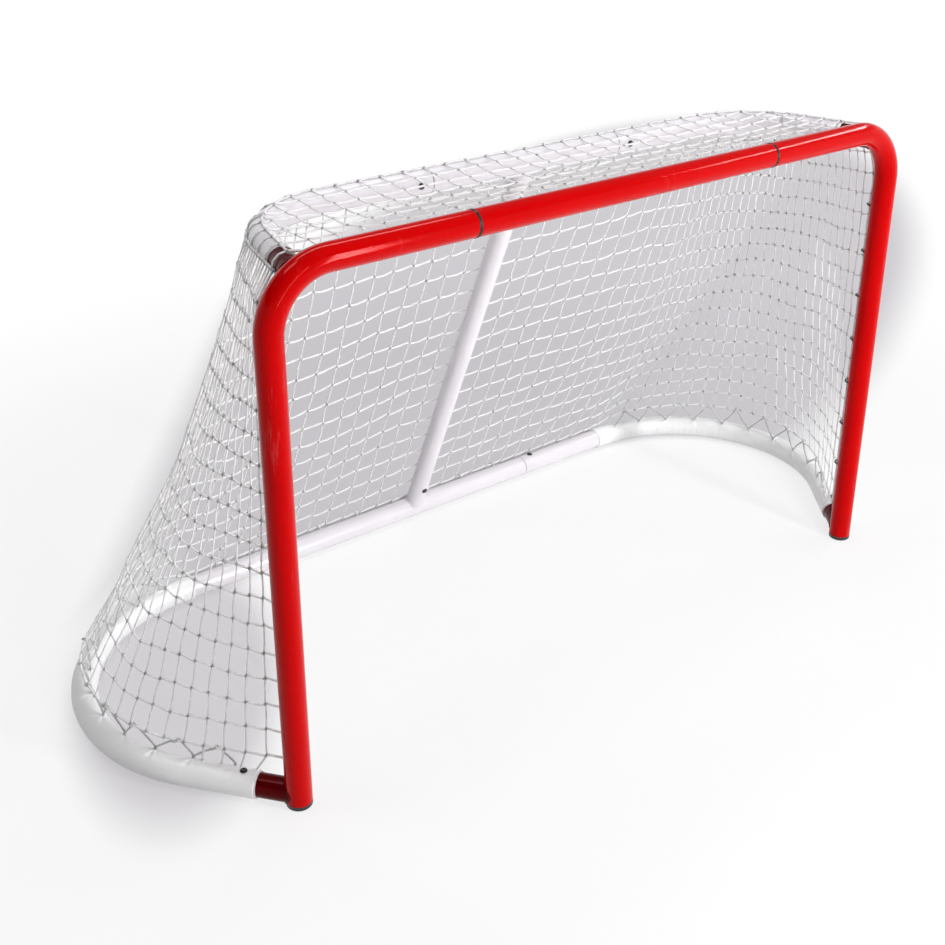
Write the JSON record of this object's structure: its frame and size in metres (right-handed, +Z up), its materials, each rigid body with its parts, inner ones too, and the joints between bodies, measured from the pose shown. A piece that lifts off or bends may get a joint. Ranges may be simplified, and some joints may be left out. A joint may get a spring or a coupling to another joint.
{
  "type": "hockey goal",
  "caption": "Full-size ice hockey goal: bolted round steel tube frame with a leaning centre post, base bend covers, and a knotted net laced to wire loops.",
  "frame": {"origin": "on the floor, below the middle of the bounding box and on the goal's middle plane", "axes": "+X along the crossbar, to the right as seen by a shooter who faces the mouth; +Y from the mouth to the rear of the goal; +Z up"},
  "size_m": [2.48, 0.9622, 1.2793],
  "materials": {
    "red_paint": "gloss",
    "dark_red_paint": "gloss",
    "white_paint": "gloss",
    "black_wire": "gloss",
    "sleeve_steel": "satin",
    "screw_steel": "bright",
    "cap_rubber": "satin",
    "vinyl": "satin vinyl sheet",
    "net_cord": "twisted cord",
    "rope": "twisted rope"
  },
  "bodies": {
    "root": {"left_post": "red_paint", "right_post": "red_paint", "crossbar": "red_paint", "left_crossbar_sleeve": "sleeve_steel", "right_crossbar_sleeve": "sleeve_steel", "left_foot_cap": "cap_rubber", "right_foot_cap": "cap_rubber", "left_base_stub": "dark_red_paint", "right_base_stub": "dark_red_paint", "left_shelf_stub": "dark_red_paint", "right_shelf_stub": "dark_red_paint", "left_base_tube": "white_paint", "right_base_tube": "white_paint", "base_centre_tube": "white_paint", "left_base_sleeve": "sleeve_steel", "right_base_sleeve": "sleeve_steel", "left_shelf_tube": "white_paint", "right_shelf_tube": "white_paint", "shelf_centre_tube": "white_paint", "left_shelf_sleeve": "sleeve_steel", "right_shelf_sleeve": "sleeve_steel", "centre_post": "white_paint", "post_foot": "white_paint", "post_head": "white_paint", "left_base_cover": "vinyl", "right_base_cover": "vinyl", "crossbar_screws": "screw_steel", "base_screws": "screw_steel", "shelf_screws": "screw_steel", "post_screws": "screw_steel", "left_post_loops": "black_wire", "right_post_loops": "black_wire", "crossbar_loops": "black_wire", "base_loops_row": "white_paint", "left_edge_rope": "rope", "right_edge_rope": "rope", "crossbar_rope": "rope", "rear_base_rope": "rope", "left_lace": "rope", "right_lace": "rope", "left_net": "net_cord", "right_net": "net_cord", "back_net": "net_cord", "top_net": "net_cord"}
  },
  "joints": []
}
